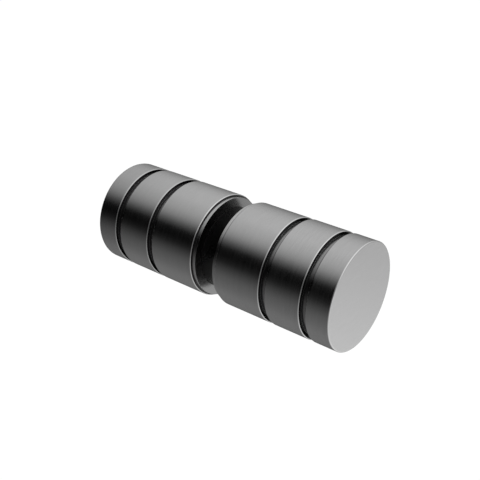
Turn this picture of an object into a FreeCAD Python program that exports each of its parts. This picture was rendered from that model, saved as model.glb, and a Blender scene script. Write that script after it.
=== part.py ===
"""Back-to-back knob pair for a glass shower door.

Two knobs turned from round bar stand on one axis, one on each side of the glass. A threaded stud
pulls them together through a hole in the pane. Between each knob and the glass lies a metal washer
with a rubber gasket let into its face, and a plastic sleeve keeps the stud off the edge of the hole.
"""

import FreeCAD, Part
import math
import os

# All sizes are in millimetres. X runs along the common axis, from the inside knob to the outside one,
# Z is up, and the origin lies on the axis in the middle of the glass.

# Glass door
glass_thickness = 6.0
glass_hole = 10.0

# Knobs, turned from round bar
knob_diameter = 30.0
end_band = 6.65             # plain barrel between the free end and the first groove
middle_band = 10.3          # plain barrel between the two grooves
root_band = 14.4            # plain barrel between the second groove and the washer
groove_floor = 1.9          # width of a groove between its walls
groove_depth = 1.2
groove_lip = 0.2            # 45 degree chamfer along both lips of a groove
end_chamfer = 0.2           # round the free end
root_chamfer = 0.2          # round the end that meets the washer

# Threaded stud, with a hexagon socket in the end that goes into the inside knob
thread_diameter = 6.0       # over the crests
thread_pitch = 1.0
stud_engagement = 13.0      # length screwed into each knob
stud_chamfer = 0.7
socket_across_flats = 3.0
socket_depth = 3.2

# Tapped hole in each knob, drawn at the size of the thread's crests
thread_clearance = 0.05     # between the stud and the wall of the hole, all round
thread_spare = 2.0          # thread left beyond the end of the stud
drill_spare = 3.5           # plain drilled length beyond the thread, to the shoulder of the point
drill_point_angle = 118.0
hole_countersink = 0.4      # at the mouth, wider than the thread all round

# Metal washer between a knob and the glass
washer_setback = 0.65       # from the barrel of the knob in to the edge of the washer
washer_thickness = 1.2
washer_rim = 2.65           # plain face round the seat of the gasket
washer_play = 0.25          # between the washer and the stud, all round

# Black rubber gasket let into the washer. It stands proud, so that no metal bears on the glass.
gasket_thickness = 0.6
gasket_proud = 0.05
gasket_play = 0.1           # between the gasket and the edge of its seat
gasket_sleeve_play = 0.5    # between the gasket and the sleeve that centres it

# Plastic sleeve in the hole of the glass, long enough to reach into both gaskets
sleeve_hole_play = 0.2      # between the sleeve and the edge of the glass hole
sleeve_play = 0.2           # between the sleeve and the stud, all round
sleeve_end_play = 0.2       # between the sleeve and each washer
sleeve_chamfer = 0.4

# Places along the axis, from the middle of the glass outwards
glass_face = glass_thickness / 2
washer_face = glass_face + gasket_proud
seat_floor = glass_face + gasket_thickness
knob_face = washer_face + washer_thickness

# Radii that more than one piece uses
barrel_radius = knob_diameter / 2
thread_radius = thread_diameter / 2
washer_radius = barrel_radius - washer_setback
seat_radius = washer_radius - washer_rim
sleeve_radius = glass_hole / 2 - sleeve_hole_play

x_axis = FreeCAD.Vector(1, 0, 0)
z_axis = FreeCAD.Vector(0, 0, 1)
origin = FreeCAD.Vector(0, 0, 0)


def turned(outline):
    """Solid of revolution about X from a closed outline of (distance along X, radius) points."""
    points = [FreeCAD.Vector(x, 0, radius) for x, radius in outline]
    wire = Part.makePolygon(points + points[:1])
    return Part.Face(wire).revolve(origin, x_axis, 360)


def groove_outline(start):
    """Lip, wall, floor, wall and lip of the groove whose first lip begins at start."""
    lip_radius = barrel_radius - groove_lip
    floor_radius = barrel_radius - groove_depth
    first_wall = start + groove_lip
    second_wall = first_wall + groove_floor
    return [
        (start, barrel_radius),
        (first_wall, lip_radius),
        (first_wall, floor_radius),
        (second_wall, floor_radius),
        (second_wall, lip_radius),
        (second_wall + groove_lip, barrel_radius),
    ]


def hole_outline():
    """Drill point, drilled wall, tapped wall and countersunk mouth, from the bottom of the hole out."""
    hole_radius = thread_radius + thread_clearance
    drill_radius = (thread_diameter - thread_pitch) / 2
    thread_end = knob_face + stud_engagement + thread_spare
    shoulder = thread_end + drill_spare
    point_length = drill_radius / math.tan(math.radians(drill_point_angle / 2))
    return [
        (shoulder + point_length, 0),
        (shoulder, drill_radius),
        (thread_end, drill_radius),
        (thread_end, hole_radius),
        (knob_face + hole_countersink, hole_radius),
        (knob_face, hole_radius + hole_countersink),
    ]


def knob():
    """One knob in the place of the outside one: its root end on the washer, its free end at +X."""
    groove_width = groove_floor + 2 * groove_lip
    outline = hole_outline()
    outline.append((knob_face, barrel_radius - root_chamfer))
    outline.append((knob_face + root_chamfer, barrel_radius))
    place = knob_face
    for band in (root_band, middle_band):
        place += band
        outline += groove_outline(place)
        place += groove_width
    free_end = place + end_band
    outline.append((free_end - end_chamfer, barrel_radius))
    outline.append((free_end, barrel_radius - end_chamfer))
    outline.append((free_end, 0))
    return turned(outline)


def washer():
    """Washer on the outside of the glass, with the seat of the gasket in its glass face."""
    bore = thread_radius + washer_play
    return turned([
        (seat_floor, bore),
        (seat_floor, seat_radius),
        (washer_face, seat_radius),
        (washer_face, washer_radius),
        (knob_face, washer_radius),
        (knob_face, bore),
    ])


def gasket():
    """Flat rubber ring that fills the washer's seat and bears on the glass."""
    bore = sleeve_radius + gasket_sleeve_play
    edge = seat_radius - gasket_play
    return turned([
        (glass_face, bore),
        (glass_face, edge),
        (seat_floor, edge),
        (seat_floor, bore),
    ])


def stud():
    """Stud across the glass and both washers, chamfered at the ends, with its hexagon socket."""
    end = knob_face + stud_engagement
    body = turned([
        (-end, 0),
        (-end, thread_radius - stud_chamfer),
        (-end + stud_chamfer, thread_radius),
        (end - stud_chamfer, thread_radius),
        (end, thread_radius - stud_chamfer),
        (end, 0),
    ])
    corner = socket_across_flats / 2 / math.cos(math.radians(30))
    corners = []
    for step in range(6):
        turn = math.radians(60 * step)
        corners.append(FreeCAD.Vector(-end, corner * math.cos(turn), corner * math.sin(turn)))
    mouth = Part.Face(Part.makePolygon(corners + corners[:1]))
    return body.cut(mouth.extrude(x_axis * socket_depth))


def sleeve():
    """Plastic bush round the stud, through the glass and both gaskets, just clear of the washers."""
    half = seat_floor - sleeve_end_play
    bore = thread_radius + sleeve_play
    return turned([
        (-half, bore),
        (-half, sleeve_radius - sleeve_chamfer),
        (-half + sleeve_chamfer, sleeve_radius),
        (half - sleeve_chamfer, sleeve_radius),
        (half, sleeve_radius - sleeve_chamfer),
        (half, bore),
    ])


def on_the_inside(shape):
    """The same piece turned round to the other side of the glass."""
    return shape.rotated(origin, z_axis, 180)


pieces = {"connecting_stud": stud(), "glass_sleeve": sleeve()}
for name, make in (("knob", knob), ("washer", washer), ("gasket", gasket)):
    pieces["outside_" + name] = make()
    pieces["inside_" + name] = on_the_inside(pieces["outside_" + name])

os.makedirs("parts", exist_ok=True)
for name, shape in pieces.items():
    shape.exportStep("parts/" + name + ".step")
    box = shape.BoundBox
    print(name, "valid", shape.isValid(), "solids", len(shape.Solids), "volume", round(shape.Volume, 2),
          "x", round(box.XMin, 3), round(box.XMax, 3), "z", round(box.ZMin, 3), round(box.ZMax, 3))
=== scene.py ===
"""Looks of the shower door knob pair: two turned knobs of satin stainless steel, back to back on a stud,
with the parts between them that clamp the glass."""

import math

import bmesh
import bpy
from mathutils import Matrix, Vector


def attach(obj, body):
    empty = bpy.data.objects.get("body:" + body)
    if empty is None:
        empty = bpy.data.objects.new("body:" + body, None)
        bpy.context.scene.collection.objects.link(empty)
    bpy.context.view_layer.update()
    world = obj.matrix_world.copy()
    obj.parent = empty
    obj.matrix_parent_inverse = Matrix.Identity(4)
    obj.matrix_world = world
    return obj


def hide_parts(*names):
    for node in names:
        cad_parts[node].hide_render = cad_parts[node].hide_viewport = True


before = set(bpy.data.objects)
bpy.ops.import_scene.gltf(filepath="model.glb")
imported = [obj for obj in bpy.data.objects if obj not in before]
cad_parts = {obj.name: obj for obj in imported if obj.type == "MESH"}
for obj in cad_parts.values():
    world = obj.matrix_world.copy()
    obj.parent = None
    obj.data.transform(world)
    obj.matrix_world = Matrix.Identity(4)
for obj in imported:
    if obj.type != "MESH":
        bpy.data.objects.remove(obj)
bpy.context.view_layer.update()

# Camera: a slightly long lens close beyond the free end of the outside knob, looking down on the pair from
# the front. Its place was fitted to the straight sides and the round rims of the knobs.
scene = bpy.context.scene
scene.view_settings.view_transform = "Standard"
look_at = Vector((-0.00015, 0.00150, 0.00240))
camera_turn = math.radians(38.75)
camera_height = math.radians(28.0)
camera_distance = 0.2217
towards_camera = Vector((
    math.sin(camera_turn) * math.cos(camera_height),
    -math.cos(camera_turn) * math.cos(camera_height),
    math.sin(camera_height),
))
camera_data = bpy.data.cameras.new("camera")
camera_data.lens = 59.15
camera_data.sensor_width = 36
camera_data.clip_start = 0.01
camera_data.clip_end = 30
camera = bpy.data.objects.new("camera", camera_data)
camera.location = look_at + towards_camera * camera_distance
camera.rotation_mode = "QUATERNION"
camera.rotation_quaternion = (-towards_camera).to_track_quat("-Z", "Y")
scene.collection.objects.link(camera)
scene.camera = camera

# Connecting stud: M6 threaded rod that screws into both knobs and pulls them together. It is steel with a
# rolled thread, bright zinc plated. The end in the inside knob has a hexagon socket for the key that
# screws it home. Here and below sizes are in mm, and x runs along the axis from the middle of the glass.
thread_radius = 3.0
thread_pitch = 1.0
thread_height = 0.61
crest_flat = 0.125          # share of the pitch
flank_width = 0.3125        # share of the pitch
stud_half = 17.25
stud_chamfer = 0.7
socket_across_flats = 3.0
socket_depth = 3.2
socket_point = 0.5          # left by the drill below the hexagon
stud_sides = 72
steps_a_pitch = 12
sharpest_smooth = math.radians(28)      # bend that is still shaded smooth


def linear(colour):
    """The linear colour of an sRGB hex value, as Blender's sockets take it."""
    channels = [int(colour[i:i + 2], 16) / 255 for i in (1, 3, 5)]
    return [*(c / 12.92 if c <= 0.04045 else ((c + 0.055) / 1.055) ** 2.4 for c in channels), 1.0]


def empty_material(name):
    """A material with no nodes in it yet."""
    material = bpy.data.materials.new(name)
    material.use_nodes = True
    material.node_tree.nodes.clear()
    return material


def add(material, kind, inputs=None, **settings):
    """Adds a shader node. Each input gets a value, or another node's output to join it to."""
    made = material.node_tree.nodes.new("ShaderNode" + kind)
    for name, value in settings.items():
        setattr(made, name, value)
    for name, value in (inputs or {}).items():
        if isinstance(value, bpy.types.NodeSocket):
            material.node_tree.links.new(value, made.inputs[name])
        else:
            made.inputs[name].default_value = value
    return made


def put_in_place(name, mesh, node):
    """Adds a piece that stands for one of the solids, hangs it under the root body and hides that solid."""
    piece = bpy.data.objects.new(name, mesh)
    scene.collection.objects.link(piece)
    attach(piece, "root")
    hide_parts(node)


def thread_radius_at(x, turn):
    """Radius of the rolled thread at x along the stud and a share of a turn round it."""
    from_crest = abs((x / thread_pitch - turn) % 1.0 - 0.5)
    down_the_flank = min(1.0, max(0.0, (from_crest - crest_flat / 2) / flank_width))
    end_cone = thread_radius - stud_chamfer + stud_half - abs(x)
    return min(thread_radius - thread_height * down_the_flank, end_cone)


def round_the_axis(x, radius, turn):
    """The point at a distance from the axis and a share of a turn round it."""
    return x, radius * math.cos(math.tau * turn), radius * math.sin(math.tau * turn)


points, faces = [], []
steps_along = int(2 * stud_half / thread_pitch * steps_a_pitch)
for i in range(steps_along + 1):
    x = -stud_half + 2 * stud_half * i / steps_along
    for j in range(stud_sides):
        points.append(round_the_axis(x, thread_radius_at(x, j / stud_sides), j / stud_sides))
mouth = len(points)
for x in (-stud_half, -stud_half + socket_depth):
    for j in range(stud_sides):
        off_the_flat = ((j * 6 / stud_sides) % 1.0 - 0.5) * math.pi / 3
        points.append(round_the_axis(x, socket_across_flats / 2 / math.cos(off_the_flat), j / stud_sides))
socket_bottom = mouth + stud_sides
socket_tip = len(points)
points.append((-stud_half + socket_depth + socket_point, 0, 0))
far_end = len(points)
points.append((stud_half, 0, 0))
for j in range(stud_sides):
    k = (j + 1) % stud_sides
    for row in range(0, steps_along * stud_sides, stud_sides):
        faces.append((row + j, row + k, row + stud_sides + k, row + stud_sides + j))
    faces.append((mouth + j, mouth + k, k, j))
    faces.append((socket_bottom + j, socket_bottom + k, mouth + k, mouth + j))
    faces.append((socket_tip, socket_bottom + k, socket_bottom + j))
    faces.append((steps_along * stud_sides + j, steps_along * stud_sides + k, far_end))
stud_mesh = bpy.data.meshes.new("connecting_stud")
stud_mesh.from_pydata([Vector(point) / 1000 for point in points], [], faces)
stud_mesh.shade_smooth()
stud_mesh.set_sharp_from_angle(angle=sharpest_smooth)

# Zinc plate is bright with a cool tint and a faint cloudiness from the plating bath. The grain of the rolled
# steel below it is drawn 6 to the millimetre, coarser than it is, so that it shows.
clouds_a_mm = 0.9
grains_a_mm = 6
zinc_plate = empty_material("bright_zinc_plated_steel")
spot = add(zinc_plate, "TexCoord").outputs["Object"]
cloud = add(zinc_plate, "TexNoise", {"Vector": spot, "Scale": 1000 * clouds_a_mm, "Detail": 3}).outputs["Fac"]
zinc_colour = add(zinc_plate, "ValToRGB", {"Fac": cloud})
zinc_colour.color_ramp.elements[0].color = linear("#A9AEB1")
zinc_colour.color_ramp.elements[1].color = linear("#C6CACB")
zinc_gloss = add(zinc_plate, "MapRange", {"Value": cloud, "To Min": 0.22, "To Max": 0.38})
rolled = add(zinc_plate, "TexNoise", {"Vector": spot, "Scale": 1000 * grains_a_mm, "Detail": 2})
rolled_bump = add(zinc_plate, "Bump", {
    "Strength": 0.5, "Distance": 0.00001, "Height": rolled.outputs["Fac"],
})
zinc_shader = add(zinc_plate, "BsdfPrincipled", {
    "Base Color": zinc_colour.outputs["Color"], "Metallic": 1.0,
    "Roughness": zinc_gloss.outputs["Result"], "Normal": rolled_bump.outputs["Normal"],
})
add(zinc_plate, "OutputMaterial", {"Surface": zinc_shader.outputs["BSDF"]})
stud_mesh.materials.append(zinc_plate)
put_in_place("connecting_stud_threaded", stud_mesh, "connecting_stud")

# Glass sleeve: a moulded nylon bush round the stud, in the hole of the glass. It keeps the steel off the
# edge of the glass and centres both gaskets.
sleeve_half = 3.4
sleeve_radius = 4.8
sleeve_bore = 3.2
sleeve_chamfer = 0.4
sleeve_rounding = 0.1
turning_steps = 288         # flats round a turned piece
corner_steps = 6            # flats round a rounded corner
rounded_share = 0.49        # the most of a straight stretch that one corner's rounding takes
worn_share = 0.4            # the most that the rounding and the wear beside it take together
worn_width = 0.3
grain_radius = 15.0         # at which the tool marks round the axis are drawn at their true length
whole = 0                   # the one surface of a piece that has the same finish all over


def without_sharp_corners(outline, rounding, closed):
    """Rounds each corner of an outline of (x, radius, surface) points, with the material on its right.

    A point may bring its own rounding as a fourth value. Gives (x, radius, normal x, normal radius,
    surface, edge). Surface counts the stretch that follows the point, and edge is 1 on a corner and 0
    just beside it, where wear ends. An outline that isn't closed starts and ends on the axis.
    """
    result = []
    last = len(outline) - 1
    for i, (x, radius, surface, *own) in enumerate(outline):
        if not closed and i in (0, last):
            result.append((x, radius, -1.0 if i == 0 else 1.0, 0.0, surface, 0.0))
            continue
        x0, r0, surface_before = outline[i - 1][:3]
        x1, r1 = outline[(i + 1) % (last + 1)][:2]
        length_in, length_out = math.hypot(x - x0, radius - r0), math.hypot(x1 - x, r1 - radius)
        ax, ar = (x - x0) / length_in, (radius - r0) / length_in
        bx, br = (x1 - x) / length_out, (r1 - radius) / length_out
        bend = math.atan2(ax * br - ar * bx, ax * bx + ar * br)
        slope = math.tan(abs(bend) / 2)
        wanted = own[0] if own else rounding
        back = min(wanted * slope, rounded_share * length_in, rounded_share * length_out)
        arc = math.copysign(back / slope, -bend)
        centre_x, centre_r = x - ax * back + ar * arc, radius - ar * back - ax * arc
        before = min(worn_width, worn_share * length_in - back)
        if before > 0:
            away = back + before
            result.append((x - ax * away, radius - ar * away, -ar, ax, surface_before, 0.0))
        for step in range(corner_steps + 1):
            turn = bend * step / corner_steps
            nx = -ar * math.cos(turn) - ax * math.sin(turn)
            nr = ax * math.cos(turn) - ar * math.sin(turn)
            stretch = surface_before if step < corner_steps / 2 else surface
            result.append((centre_x + nx * arc, centre_r + nr * arc, nx, nr, stretch, 1.0))
        after = min(worn_width, worn_share * length_out - back)
        if after > 0:
            away = back + after
            result.append((x + bx * away, radius + br * away, -br, bx, surface, 0.0))
    return result


def turned(name, outline, rounding, materials, other_side=False, straight_grain=None):
    """Mesh of a piece turned about the axis from an outline of (x, radius, surface) points.

    The grain map runs across the tool marks in its first direction and along them in its second. On the
    surface named by straight_grain the marks are straight along Y instead of round the axis.
    """
    closed = outline[0][1] > 0
    profile = without_sharp_corners(outline, rounding, closed)
    side = -1 if other_side else 1
    points, normals, edges, rings = [], [], [], []
    for x, radius, nx, nr, _, edge in profile:
        sides = turning_steps if radius > 0 else 1
        rings.append((len(points), sides))
        for j in range(sides):
            c, s = math.cos(math.tau * j / turning_steps), math.sin(math.tau * j / turning_steps)
            points.append((side * x / 1000, side * radius * c / 1000, radius * s / 1000))
            normals.append((side * nx, side * nr * c, nr * s))
            edges.append(edge)
    faces, surfaces, grain = [], [], []
    travel = 0.0
    for i in range(len(profile) if closed else len(profile) - 1):
        follows = (i + 1) % len(profile)
        surface = profile[i][4]
        travelled = travel + math.dist(profile[i][:2], profile[follows][:2])
        (first, sides), (second, other_sides) = rings[i], rings[follows]
        for j in range(turning_steps):
            corners = [(first, sides, j, travel), (first, sides, j + 1, travel),
                       (second, other_sides, j + 1, travelled), (second, other_sides, j, travelled)]
            if sides == 1:
                corners.pop(1)
            if other_sides == 1:
                corners.pop(3)
            faces.append([start + step % count for start, count, step, _ in corners])
            surfaces.append(surface)
            for start, count, step, along in corners:
                if surface == straight_grain:
                    _, y, z = points[start + step % count]
                    grain += (z, y)
                else:
                    grain += (along / 1000, math.tau * step / turning_steps * grain_radius / 1000)
        travel = travelled
    mesh = bpy.data.meshes.new(name)
    mesh.from_pydata(points, [], faces)
    mesh.shade_smooth()
    mesh.polygons.foreach_set("material_index", surfaces)
    mesh.uv_layers.new(name="grain").data.foreach_set("uv", grain)
    mesh.attributes.new("edge", "FLOAT", "POINT").data.foreach_set("value", edges)
    mesh.normals_split_custom_set_from_vertices(normals)
    for material in materials:
        mesh.materials.append(material)
    return mesh


# Nylon coloured with carbon black is nearly black, with a faint mottling where it flowed and the soft sheen
# of a spark-eroded mould. The mould's grain is drawn 4 to the millimetre, coarser than it is, to show.
mottles_a_mm = 0.35
grains_a_mm = 4
black_nylon = empty_material("black_moulded_nylon")
spot = add(black_nylon, "TexCoord").outputs["Object"]
mottle = add(black_nylon, "TexNoise", {"Vector": spot, "Scale": 1000 * mottles_a_mm, "Detail": 2})
nylon_colour = add(black_nylon, "ValToRGB", {"Fac": mottle.outputs["Fac"]})
nylon_colour.color_ramp.elements[0].color = linear("#161616")
nylon_colour.color_ramp.elements[1].color = linear("#1E1E1D")
mould_grain = add(black_nylon, "TexNoise", {"Vector": spot, "Scale": 1000 * grains_a_mm, "Detail": 2})
mould_bump = add(black_nylon, "Bump", {
    "Strength": 0.6, "Distance": 0.00002, "Height": mould_grain.outputs["Fac"],
})
nylon_shader = add(black_nylon, "BsdfPrincipled", {
    "Base Color": nylon_colour.outputs["Color"], "Roughness": 0.42, "IOR": 1.53,
    "Normal": mould_bump.outputs["Normal"],
})
add(black_nylon, "OutputMaterial", {"Surface": nylon_shader.outputs["BSDF"]})
sleeve_mesh = turned("glass_sleeve", [
    (-sleeve_half, sleeve_bore, whole),
    (-sleeve_half, sleeve_radius - sleeve_chamfer, whole),
    (-sleeve_half + sleeve_chamfer, sleeve_radius, whole),
    (sleeve_half - sleeve_chamfer, sleeve_radius, whole),
    (sleeve_half, sleeve_radius - sleeve_chamfer, whole),
    (sleeve_half, sleeve_bore, whole),
], sleeve_rounding, [black_nylon])
put_in_place("glass_sleeve_moulded", sleeve_mesh, "glass_sleeve")

# Gaskets: flat rings stamped from rubber sheet and let into the washers. They stand 0.05 mm proud and bear on
# the glass, so that no metal scratches it.
glass_half = 3.0
gasket_back = 3.59          # just clear of the floor of the washer's seat
gasket_bore = 5.3
gasket_edge = 11.6
gasket_rounding = 0.02

# EPDM rubber is nearly black, with a faint bloom and the soft gloss of sheet cured against a polished plate.
# The grain of the plate is drawn 3.5 to the millimetre, coarser than it is, so that it shows.
blooms_a_mm = 0.26
grains_a_mm = 3.5
black_rubber = empty_material("black_epdm_sheet")
spot = add(black_rubber, "TexCoord").outputs["Object"]
bloom = add(black_rubber, "TexNoise", {
    "Vector": spot, "Scale": 1000 * blooms_a_mm, "Detail": 3,
}).outputs["Fac"]
rubber_colour = add(black_rubber, "ValToRGB", {"Fac": bloom})
rubber_colour.color_ramp.elements[0].color = linear("#0A0A0A")
rubber_colour.color_ramp.elements[1].color = linear("#0F0F0F")
sheet_gloss = add(black_rubber, "MapRange", {"Value": bloom, "To Min": 0.24, "To Max": 0.32})
plate_grain = add(black_rubber, "TexNoise", {"Vector": spot, "Scale": 1000 * grains_a_mm, "Detail": 2})
sheet_bump = add(black_rubber, "Bump", {
    "Strength": 0.2, "Distance": 0.00001, "Height": plate_grain.outputs["Fac"],
})
rubber_shader = add(black_rubber, "BsdfPrincipled", {
    "Base Color": rubber_colour.outputs["Color"], "IOR": 1.48,
    "Roughness": sheet_gloss.outputs["Result"], "Normal": sheet_bump.outputs["Normal"],
})
add(black_rubber, "OutputMaterial", {"Surface": rubber_shader.outputs["BSDF"]})
for where in ("outside", "inside"):
    gasket_mesh = turned(where + "_gasket", [
        (glass_half, gasket_bore, whole),
        (glass_half, gasket_edge, whole),
        (gasket_back, gasket_edge, whole),
        (gasket_back, gasket_bore, whole),
    ], gasket_rounding, [black_rubber], where == "inside")
    put_in_place(where + "_gasket_stamped", gasket_mesh, where + "_gasket")

# Washers: thick rings turned from the same stainless bar as the knobs and brushed with them. Each sits
# between a knob and the glass, a little smaller than the barrel, with its gasket let into the glass side.
washer_face = 3.05
seat_floor = 3.6
knob_face = 4.25
washer_bore = 3.25
washer_radius = 14.35
washer_rounding = 0.03
seat_radius = 11.7
seat_rounding = 0.01


def satin_stainless(name, straight):
    """Brushed 304 stainless steel, with its grain round the axis or straight across the face.

    The belt's grit leaves a streak every 0.05 mm, too fine to show, so the streaks are drawn 0.2 to 0.35 mm
    apart. They stretch each reflection across the grain and leave faint lighter and darker lines. Hands
    rub the edges a little smoother.
    """
    rubbed_off = 0.08       # of the roughness at the edges
    steel = empty_material(name)
    across = add(steel, "UVMap", uv_map="grain").outputs["UV"]
    if straight:
        along = across
    else:
        spot = add(steel, "TexCoord").outputs["Object"]
        flat = add(steel, "VectorMath", {0: spot, 1: (0.0, 1.0, 1.0)}, operation="MULTIPLY")
        unit = add(steel, "VectorMath", {0: flat.outputs[0]}, operation="NORMALIZE")
        along = add(steel, "VectorMath", {0: unit.outputs[0], "Scale": grain_radius / 1000},
                    operation="SCALE").outputs[0]
    across_parts = add(steel, "SeparateXYZ", {"Vector": across})
    along_parts = add(steel, "SeparateXYZ", {"Vector": along})
    grain = add(steel, "CombineXYZ", {
        "X": across_parts.outputs["X"], "Y": along_parts.outputs["Y"],
        "Z": 0.0 if straight else along_parts.outputs["Z"],
    }).outputs["Vector"]
    streaks = []
    for spacing, length, detail in ((0.35, 6, 1), (0.2, 3, 2)):
        scale = (1000 / spacing, 1000 / length, 1000 / length)
        stretched = add(steel, "Mapping", {"Vector": grain, "Scale": scale}).outputs["Vector"]
        noise = add(steel, "TexNoise", {"Vector": stretched, "Scale": 1.0, "Detail": detail})
        streaks.append(noise.outputs["Fac"])
    streak = add(steel, "Math", {0: streaks[0], 1: streaks[1]}, operation="ADD").outputs[0]
    light = add(steel, "MapRange", {"Value": streak, "From Min": 0.7, "From Max": 1.3}).outputs["Result"]
    steel_colour = add(steel, "ValToRGB", {"Fac": light})
    steel_colour.color_ramp.elements[0].color = linear("#ABABAB")
    steel_colour.color_ramp.elements[1].color = linear("#B1B1B1")
    gloss = add(steel, "MapRange", {"Value": light, "To Min": 0.22, "To Max": 0.26}).outputs["Result"]
    edge = add(steel, "Attribute", attribute_name="edge").outputs["Fac"]
    rubbed = add(steel, "Math", {0: edge, 1: -rubbed_off, 2: gloss}, operation="MULTIPLY_ADD").outputs[0]
    bump = add(steel, "Bump", {"Strength": 0.5, "Distance": 0.000002, "Height": streak}).outputs["Normal"]
    across_grain = add(steel, "Tangent", direction_type="UV_MAP", uv_map="grain").outputs["Tangent"]
    shader = add(steel, "BsdfPrincipled", {
        "Base Color": steel_colour.outputs["Color"], "Metallic": 1.0, "Roughness": rubbed,
        "Anisotropic": 0.4, "Tangent": across_grain, "Normal": bump,
    })
    add(steel, "OutputMaterial", {"Surface": shader.outputs["BSDF"]})
    return steel


def turned_stainless(name, dark, light, roughness, glance=1.0):
    """Stainless steel as the lathe leaves it, with the rings of its feed and no brushing over them.

    The feed is 0.1 mm a turn, and the rings are drawn 0.2 mm apart so that they show. Glance is the share of
    its glancing reflection that it keeps; below 1 it darkens the steel, as painted shade.
    """
    ring_spacing = 0.2
    swing = 0.04            # of the roughness, from one ring to the next
    steel = empty_material(name)
    across = add(steel, "UVMap", uv_map="grain").outputs["UV"]
    travel = add(steel, "SeparateXYZ", {"Vector": across}).outputs["X"]
    feed = add(steel, "CombineXYZ", {"X": travel}).outputs["Vector"]
    rings = add(steel, "TexNoise", {"Vector": feed, "Scale": 1000 / ring_spacing, "Detail": 1}).outputs["Fac"]
    steel_colour = add(steel, "ValToRGB", {"Fac": rings})
    steel_colour.color_ramp.elements[0].color = linear(dark)
    steel_colour.color_ramp.elements[1].color = linear(light)
    gloss = add(steel, "MapRange", {"Value": rings, "To Min": roughness - swing, "To Max": roughness + swing})
    bump = add(steel, "Bump", {"Strength": 0.3, "Distance": 0.000002, "Height": rings}).outputs["Normal"]
    shader = add(steel, "BsdfPrincipled", {
        "Base Color": steel_colour.outputs["Color"], "Metallic": 1.0,
        "Specular Tint": (glance, glance, glance, 1), "Roughness": gloss.outputs["Result"], "Normal": bump,
    })
    add(steel, "OutputMaterial", {"Surface": shader.outputs["BSDF"]})
    return steel


# The edge of a washer is brushed with the barrel of its knob.
round_brushed = satin_stainless("satin_stainless_brushed_round", straight=False)

# The flat faces are left as the facing tool cuts them, in a plain grey darker than the brushing: painted
# shade for the narrow gap between the knobs that they face into.
faced_painted_shade = turned_stainless("faced_stainless_painted_shade", "#7E7E7E", "#868686", 0.2)

# The seat of the gasket is left dull from the boring tool, and coloured nearly black: painted shade in the
# recess between the rubber and the rim.
seat_painted_shade = turned_stainless("bored_stainless_painted_shade", "#202020", "#282828", 0.4)

brushed, faced, seat = 0, 1, 2
for where in ("outside", "inside"):
    washer_mesh = turned(where + "_washer", [
        (seat_floor, washer_bore, seat),
        (seat_floor, seat_radius, seat),
        (washer_face, seat_radius, faced, seat_rounding),
        (washer_face, washer_radius, brushed),
        (knob_face, washer_radius, faced),
        (knob_face, washer_bore, faced),
    ], washer_rounding, [round_brushed, faced_painted_shade, seat_painted_shade], where == "inside")
    put_in_place(where + "_washer_turned", washer_mesh, where + "_washer")

# Knobs: turned from 30 mm stainless bar, with two square grooves for the grip. The barrel is brushed on the
# lathe, the free end is brushed straight across, and the root end is drilled and tapped for the stud.
barrel_radius = 15.0
root_band = 14.4
middle_band = 10.3
end_band = 6.65
end_chamfer = 0.2
root_chamfer = 0.2
groove_floor = 1.9
groove_depth = 1.2
groove_lip = 0.2
broken_edge = 0.34          # rounding of the edges, which takes up nearly the whole of each chamfer
knob_rounding = 0.04        # of all other corners
hole_radius = 3.05
countersink = 0.4
thread_end = 19.25
drill_radius = 2.5
drill_end = 22.75
drill_tip = 24.25

# The streaks across the free end come from a belt, as those round the barrel do.
straight_brushed = satin_stainless("satin_stainless_brushed_straight", straight=True)

# The beds of the grooves are left as the grooving tool cuts them, coloured darker than the barrel and a touch
# lighter than a faced surface: painted shade deep in the grooves.
groove_bed_painted_shade = turned_stainless("groove_bed_stainless_painted_shade", "#868686", "#8E8E8E", 0.22)

# The walls of the grooves and the root face are left from the parting tool, and coloured dark with half their
# glancing reflection taken away: painted shade, nearly black so deep in and in the joint with the washer.
parted_painted_shade = turned_stainless("parted_stainless_painted_shade", "#3E3E3E", "#464646", 0.2, glance=0.5)

# The chamfers are cut with a sharp tool after the brushing and stay nearly polished; their lighter colour is
# painted highlight, to draw them as bright lines. Only each groove's lip towards the free end is brushed with
# the barrel, because the belt runs off it there.
bright_cut_painted_highlight = turned_stainless("bright_cut_stainless_painted_highlight", "#BEBEBE", "#C4C4C4", 0.12)

# The bore is left as the tap cuts it: darker, oily looking and ringed by the thread.
wave_bands = 20 / math.tau  # rings that the wave texture draws in a length of 1 at a scale of 1
tapped_bore = empty_material("tapped_stainless_bore")
spot = add(tapped_bore, "TexCoord").outputs["Object"]
thread_rings = add(tapped_bore, "TexWave", {"Vector": spot, "Scale": 1000 / thread_pitch / wave_bands},
                   bands_direction="X").outputs["Fac"]
bore_colour = add(tapped_bore, "ValToRGB", {"Fac": thread_rings})
bore_colour.color_ramp.elements[0].color = linear("#6A6A69")
bore_colour.color_ramp.elements[1].color = linear("#9A9A98")
bore_bump = add(tapped_bore, "Bump", {"Strength": 1.0, "Distance": 0.0003, "Height": thread_rings})
bore_shader = add(tapped_bore, "BsdfPrincipled", {
    "Base Color": bore_colour.outputs["Color"], "Metallic": 1.0, "Roughness": 0.4,
    "Normal": bore_bump.outputs["Normal"],
})
add(tapped_bore, "OutputMaterial", {"Surface": bore_shader.outputs["BSDF"]})

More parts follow.
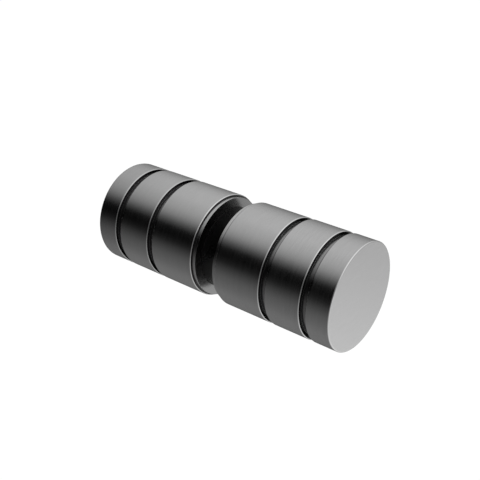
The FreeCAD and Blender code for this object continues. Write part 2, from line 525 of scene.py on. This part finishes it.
barrel, end_face, bore, groove_bed, wall, chamfer = 0, 1, 2, 3, 4, 5
knob_outline = [
    (drill_tip, 0.0, bore),
    (drill_end, drill_radius, bore),
    (thread_end, drill_radius, bore),
    (thread_end, hole_radius, bore),
    (knob_face + countersink, hole_radius, bore),
    (knob_face, hole_radius + countersink, wall),
    (knob_face, barrel_radius - root_chamfer, chamfer, broken_edge),
    (knob_face + root_chamfer, barrel_radius, barrel, broken_edge),
]
band_start = knob_face
for band in (root_band, middle_band):
    groove_start = band_start + band
    first_wall = groove_start + groove_lip
    second_wall = first_wall + groove_floor
    band_start = second_wall + groove_lip
    knob_outline += [
        (groove_start, barrel_radius, chamfer, broken_edge),
        (first_wall, barrel_radius - groove_lip, wall, broken_edge),
        (first_wall, barrel_radius - groove_depth, groove_bed),
        (second_wall, barrel_radius - groove_depth, wall),
        (second_wall, barrel_radius - groove_lip, barrel, broken_edge),
        (band_start, barrel_radius, barrel, broken_edge),
    ]
free_end = band_start + end_band
knob_outline += [
    (free_end - end_chamfer, barrel_radius, chamfer, broken_edge),
    (free_end, barrel_radius - end_chamfer, end_face, broken_edge),
    (free_end, 0.0, end_face),
]
for where in ("outside", "inside"):
    knob_mesh = turned(where + "_knob", knob_outline, knob_rounding, [
        round_brushed, straight_brushed, tapped_bore, groove_bed_painted_shade, parted_painted_shade, bright_cut_painted_highlight,
    ], where == "inside", straight_grain=end_face)
    put_in_place(where + "_knob_turned", knob_mesh, where + "_knob")

# Studio floor: plain matt white, a good metre below the pair, at which height such knobs sit on a door. A
# faint glow makes it white to the camera and in reflections, and puts no light on the pair. From here on
# sizes are in metres.
floor_level = -1.1
floor_reach = 30
floor_glow = 0.12
floor_mesh = bpy.data.meshes.new("floor")
floor_mesh.from_pydata([
    (x * floor_reach, y * floor_reach, floor_level) for x, y in ((-1, -1), (1, -1), (1, 1), (-1, 1))
], [], [(0, 1, 2, 3)])
floor_paint = empty_material("matt_white_floor")
floor_diffuse = add(floor_paint, "BsdfDiffuse", {"Color": linear("#F4F4F4")})
rays = add(floor_paint, "LightPath").outputs
seen = add(floor_paint, "Math", {0: rays["Is Camera Ray"], 1: rays["Is Glossy Ray"]}, operation="MAXIMUM")
seen = add(floor_paint, "Math", {0: seen.outputs[0], 1: rays["Is Transmission Ray"]}, operation="MAXIMUM")
glow = add(floor_paint, "Math", {0: seen.outputs[0], 1: floor_glow}, operation="MULTIPLY")
floor_shine = add(floor_paint, "Emission", {"Strength": glow.outputs[0]})
floor_both = add(floor_paint, "AddShader", {0: floor_diffuse.outputs[0], 1: floor_shine.outputs[0]})
add(floor_paint, "OutputMaterial", {"Surface": floor_both.outputs[0]})
floor_mesh.materials.append(floor_paint)
floor = bpy.data.objects.new("floor", floor_mesh)
scene.collection.objects.link(floor)

# Room: even white light from all sides, which is the only light that matt surfaces get.
room = bpy.data.worlds.new("white_room")
room.use_nodes = True
room.node_tree.nodes["Background"].inputs["Color"].default_value = (1, 1, 1, 1)
room.node_tree.nodes["Background"].inputs["Strength"].default_value = 1.0
scene.world = room

# Light tent: a translucent dome round the pair that only its reflections see. It is lit from above, behind
# and the right, and a black flag stands along its front, which gives the barrel its dark band. The left end
# of the dome is dark, apart from a patch low down that the end face of the inside knob looks at.
tent_radius = 1.0
tent_top = 1.5              # brightness of the ramps' white, where 1 is the white of the room
dark_until = -0.86          # along X, where the dark left end goes over into the lit dome
lit_from = -0.65
left_until = -0.35          # along X, where the left's light goes over into the right's
right_from = 0.45
patch_middle = (-0.94, 0.20, -0.27)
patch_rim = 0.92            # towards its middle, where the patch begins and where it is brightest
patch_core = 0.95
patch_light = 0.75
tent_mesh = bpy.data.meshes.new("light_tent")
shell = bmesh.new()
bmesh.ops.create_icosphere(shell, subdivisions=5, radius=tent_radius)
shell.to_mesh(tent_mesh)
shell.free()
tent_mesh.shade_smooth()
tent_cloth = empty_material("lit_tent_cloth")
spot = add(tent_cloth, "NewGeometry").outputs["Position"]
parts = add(tent_cloth, "SeparateXYZ", {"Vector": spot}).outputs
round_x = add(tent_cloth, "Math", {0: parts["Z"], 1: parts["Y"]}, operation="ARCTAN2")
share = add(tent_cloth, "MapRange", {"Value": round_x.outputs[0], "From Min": -math.pi, "From Max": math.pi})

# Brightness by degrees round the X axis from the back, up being 90 and the front 180, first on the left and
# then on the right. The left has a bright strip low at the back, for the end face of the inside knob.
halves = []
for stops in (
    ((-180, 0.02), (-150, 0.19), (-105, 0.32), (-75, 0.27), (-50, 0.12), (-38, 0.45), (-28, 0.45),
     (-18, 0.12), (0, 0.36), (25, 0.74), (45, 0.92), (75, 0.96), (105, 0.77), (120, 0.56), (137, 0.15),
     (148, 0.0), (166, 0.0), (180, 0.02)),
    ((-180, 0.15), (-135, 0.50), (-100, 0.80), (-60, 1.30), (-45, 1.25), (-30, 0.85), (-15, 0.60),
     (0, 0.65), (30, 1.10), (60, 1.35), (85, 1.35), (115, 0.90), (137, 0.50), (160, 0.15), (180, 0.15)),
):
    ramp = add(tent_cloth, "ValToRGB", {"Fac": share.outputs["Result"]})
    while len(ramp.color_ramp.elements) < len(stops):
        ramp.color_ramp.elements.new(0.5)
    for element, (degrees, light) in zip(ramp.color_ramp.elements, stops):
        element.position = degrees / 360 + 0.5
        element.color = (light / tent_top, light / tent_top, light / tent_top, 1)
    halves.append(ramp.outputs["Color"])
from_left = add(tent_cloth, "MapRange", {"Value": parts["X"], "From Min": dark_until, "From Max": lit_from})
near_patch = add(tent_cloth, "VectorMath", {0: spot, 1: patch_middle}, operation="DOT_PRODUCT")
patch = add(tent_cloth, "MapRange", {
    "Value": near_patch.outputs["Value"], "From Min": patch_rim, "From Max": patch_core,
    "To Max": patch_light / tent_top,
})
left_half = add(tent_cloth, "VectorMath", {
    0: halves[0], 1: from_left.outputs["Result"], 2: patch.outputs["Result"],
}, operation="MULTIPLY_ADD")
to_right = add(tent_cloth, "MapRange", {
    "Value": parts["X"], "From Min": left_until, "From Max": right_from,
}, interpolation_type="SMOOTHSTEP")
colour_a, colour_b = 6, 7   # the mix node's colours, which share their names with its other inputs
tent_light = add(tent_cloth, "Mix", {
    "Factor": to_right.outputs["Result"], colour_a: left_half.outputs[0], colour_b: halves[1],
}, data_type="RGBA")
tent_glow = add(tent_cloth, "Emission", {"Color": tent_light.outputs[2], "Strength": tent_top})
add(tent_cloth, "OutputMaterial", {"Surface": tent_glow.outputs[0]})
tent_mesh.materials.append(tent_cloth)
tent = bpy.data.objects.new("light_tent", tent_mesh)
scene.collection.objects.link(tent)
tent.visible_camera = tent.visible_diffuse = tent.visible_shadow = tent.visible_transmission = False
